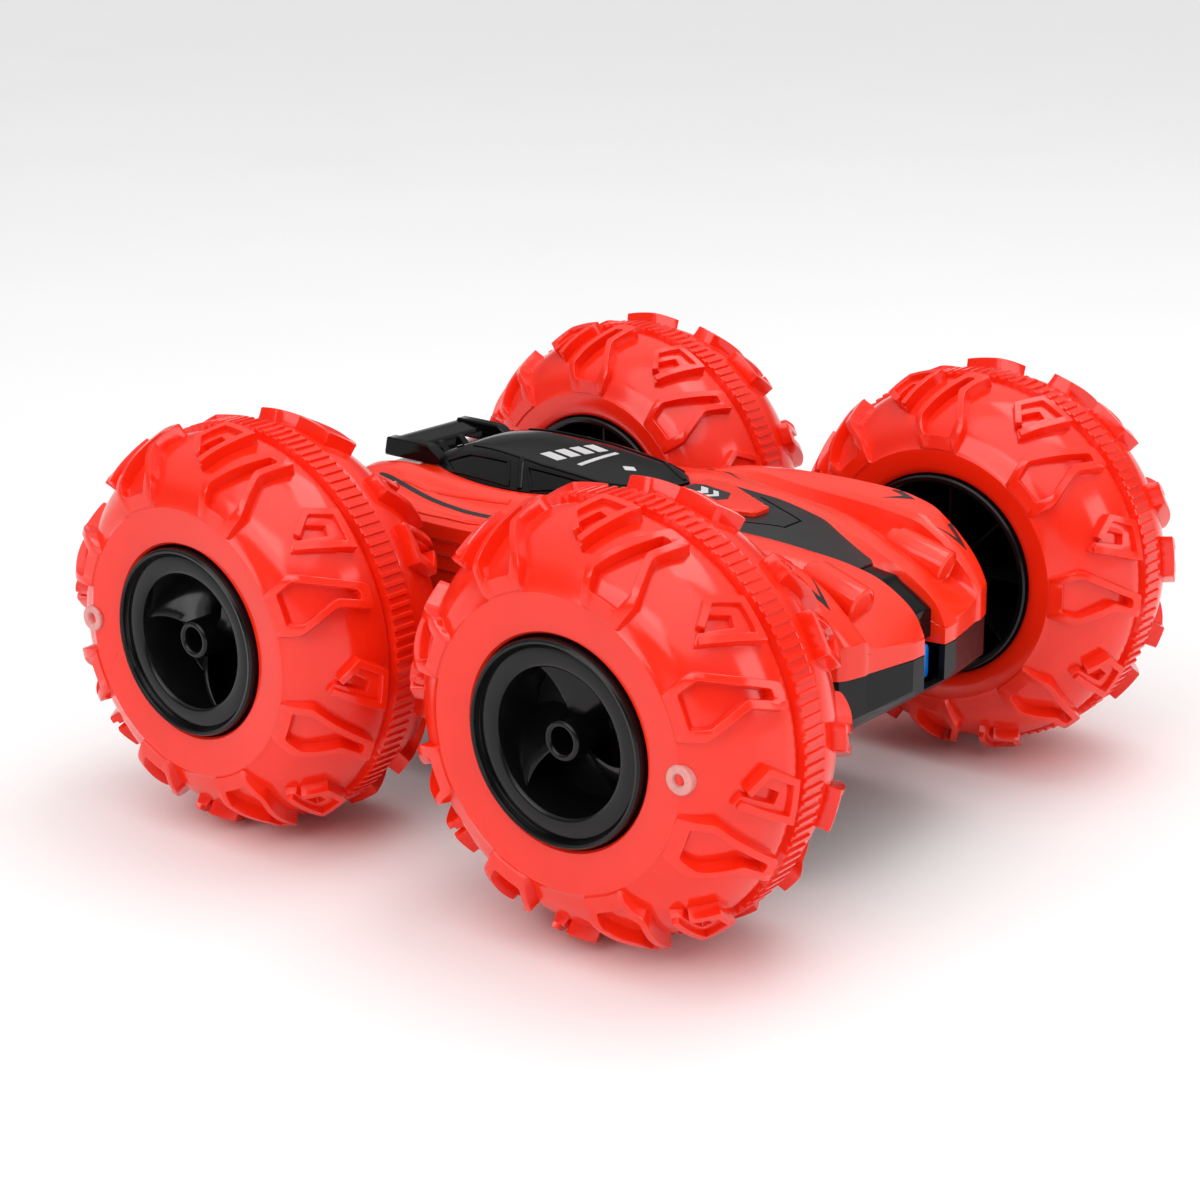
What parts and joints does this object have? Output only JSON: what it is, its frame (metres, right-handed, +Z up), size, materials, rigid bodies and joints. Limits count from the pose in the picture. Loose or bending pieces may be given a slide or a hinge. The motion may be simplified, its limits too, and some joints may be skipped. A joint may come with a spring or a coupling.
{
  "type": "rc stunt car",
  "caption": "Double-sided radio-controlled stunt car with a low sports-car body, oversized lugged hollow tyres, geared side drives, a power switch and a battery door.",
  "frame": {"origin": "on the ground, under the middle of the car", "axes": "+X forward, +Y to the car's left, +Z up"},
  "size_m": [0.24, 0.2272, 0.114],
  "materials": {
    "red_shell": "gloss",
    "red_vinyl": "glossy soft vinyl",
    "black_shell": "satin",
    "black_gloss": "high gloss",
    "black_hub": "gloss",
    "blue_lens": "clear tinted",
    "clear_epoxy": "clear",
    "valve_vinyl": "translucent soft vinyl",
    "white_nylon": "matte",
    "grey_plastic": "matte",
    "steel": "bright",
    "motor_can": "bright",
    "brass": "bright",
    "green_board": "satin",
    "battery_sleeve": "shrink sleeve"
  },
  "bodies": {
    "car_body": {"badge_plate": "red_shell", "battery_pack": "battery_sleeve", "bonnet_panel": "black_gloss", "canopy": "black_gloss", "chassis_tray": "grey_plastic", "circuit_board": "green_board", "left_gear_plate": "grey_plastic", "left_motor": "motor_can", "lower_shell": "black_shell", "nose_led": "clear_epoxy", "nose_lens": "blue_lens", "nose_strip": "black_gloss", "rear_spoiler": "black_gloss", "right_gear_plate": "grey_plastic", "right_motor": "motor_can", "shell_screw_1": "steel", "shell_screw_2": "steel", "shell_screw_3": "steel", "shell_screw_4": "steel", "switch_body": "grey_plastic", "upper_shell": "red_shell"},
    "power_switch": {"power_switch": "black_shell"},
    "battery_door": {"battery_door": "black_shell", "battery_screw": "steel"},
    "left_centre_gear": {"left_centre_gear": "white_nylon"},
    "left_rotor": {"left_pinion": "brass", "left_motor_shaft": "steel"},
    "front_left_wheel": {"front_left_tyre": "red_vinyl", "front_left_hub": "black_hub", "front_left_valve_plug": "valve_vinyl", "front_left_axle": "steel", "front_left_wheel_screw": "steel", "front_left_axle_gear": "white_nylon"},
    "front_left_idler": {"front_left_idler_gear": "white_nylon"},
    "rear_left_wheel": {"rear_left_tyre": "red_vinyl", "rear_left_hub": "black_hub", "rear_left_valve_plug": "valve_vinyl", "rear_left_axle": "steel", "rear_left_wheel_screw": "steel", "rear_left_axle_gear": "white_nylon"},
    "rear_left_idler": {"rear_left_idler_gear": "white_nylon"},
    "right_centre_gear": {"right_centre_gear": "white_nylon"},
    "right_rotor": {"right_pinion": "brass", "right_motor_shaft": "steel"},
    "front_right_wheel": {"front_right_tyre": "red_vinyl", "front_right_hub": "black_hub", "front_right_valve_plug": "valve_vinyl", "front_right_axle": "steel", "front_right_wheel_screw": "steel", "front_right_axle_gear": "white_nylon"},
    "front_right_idler": {"front_right_idler_gear": "white_nylon"},
    "rear_right_wheel": {"rear_right_tyre": "red_vinyl", "rear_right_hub": "black_hub", "rear_right_valve_plug": "valve_vinyl", "rear_right_axle": "steel", "rear_right_wheel_screw": "steel", "rear_right_axle_gear": "white_nylon"},
    "rear_right_idler": {"rear_right_idler_gear": "white_nylon"}
  },
  "joints": [
    {"name": "rear_left_wheel_spin", "type": "hinge", "parent": "car_body", "child": "rear_left_wheel", "pos_m": [-0.063, 0.085, 0.057], "axis": [0, 1, 0], "continuous": true},
    {"name": "front_left_wheel_spin", "type": "hinge", "parent": "car_body", "child": "front_left_wheel", "pos_m": [0.063, 0.085, 0.057], "axis": [0, 1, 0], "continuous": true},
    {"name": "rear_left_idler_spin", "type": "hinge", "parent": "car_body", "child": "rear_left_idler", "pos_m": [-0.03, 0.0315, 0.057], "axis": [0, 1, 0], "continuous": true},
    {"name": "front_left_idler_spin", "type": "hinge", "parent": "car_body", "child": "front_left_idler", "pos_m": [0.03, 0.0315, 0.057], "axis": [0, 1, 0], "continuous": true},
    {"name": "left_centre_gear_spin", "type": "hinge", "parent": "car_body", "child": "left_centre_gear", "pos_m": [0, 0.0285, 0.057], "axis": [0, 1, 0], "continuous": true},
    {"name": "left_rotor_spin", "type": "hinge", "parent": "car_body", "child": "left_rotor", "pos_m": [0.018, 0.025, 0.057], "axis": [0, 1, 0], "continuous": true},
    {"name": "rear_right_wheel_spin", "type": "hinge", "parent": "car_body", "child": "rear_right_wheel", "pos_m": [-0.063, -0.085, 0.057], "axis": [0, 1, 0], "continuous": true},
    {"name": "front_right_wheel_spin", "type": "hinge", "parent": "car_body", "child": "front_right_wheel", "pos_m": [0.063, -0.085, 0.057], "axis": [0, 1, 0], "continuous": true},
    {"name": "rear_right_idler_spin", "type": "hinge", "parent": "car_body", "child": "rear_right_idler", "pos_m": [-0.03, -0.0315, 0.057], "axis": [0, 1, 0], "continuous": true},
    {"name": "front_right_idler_spin", "type": "hinge", "parent": "car_body", "child": "front_right_idler", "pos_m": [0.03, -0.0315, 0.057], "axis": [0, 1, 0], "continuous": true},
    {"name": "right_centre_gear_spin", "type": "hinge", "parent": "car_body", "child": "right_centre_gear", "pos_m": [0, -0.0285, 0.057], "axis": [0, 1, 0], "continuous": true},
    {"name": "right_rotor_spin", "type": "hinge", "parent": "car_body", "child": "right_rotor", "pos_m": [-0.018, -0.025, 0.057], "axis": [0, 1, 0], "continuous": true},
    {"name": "power_switch_slide", "type": "slide", "parent": "car_body", "child": "power_switch", "axis": [1, 0, 0], "range_m": [0, 0.004]},
    {"name": "battery_door_lift", "type": "slide", "parent": "car_body", "child": "battery_door", "axis": [0, 0, -1], "range_m": [0, 0.02]}
  ],
  "couplings": [
    {"joint": "front_left_wheel_spin", "follows": "rear_left_wheel_spin", "ratio": 1},
    {"joint": "rear_left_idler_spin", "follows": "rear_left_wheel_spin", "ratio": -0.83333},
    {"joint": "front_left_idler_spin", "follows": "rear_left_wheel_spin", "ratio": -0.83333},
    {"joint": "left_centre_gear_spin", "follows": "rear_left_wheel_spin", "ratio": 1.25},
    {"joint": "left_rotor_spin", "follows": "rear_left_wheel_spin", "ratio": -3.25},
    {"joint": "front_right_wheel_spin", "follows": "rear_right_wheel_spin", "ratio": 1},
    {"joint": "rear_right_idler_spin", "follows": "rear_right_wheel_spin", "ratio": -0.83333},
    {"joint": "front_right_idler_spin", "follows": "rear_right_wheel_spin", "ratio": -0.83333},
    {"joint": "right_centre_gear_spin", "follows": "rear_right_wheel_spin", "ratio": 1.25},
    {"joint": "right_rotor_spin", "follows": "rear_right_wheel_spin", "ratio": -3.25}
  ]
}
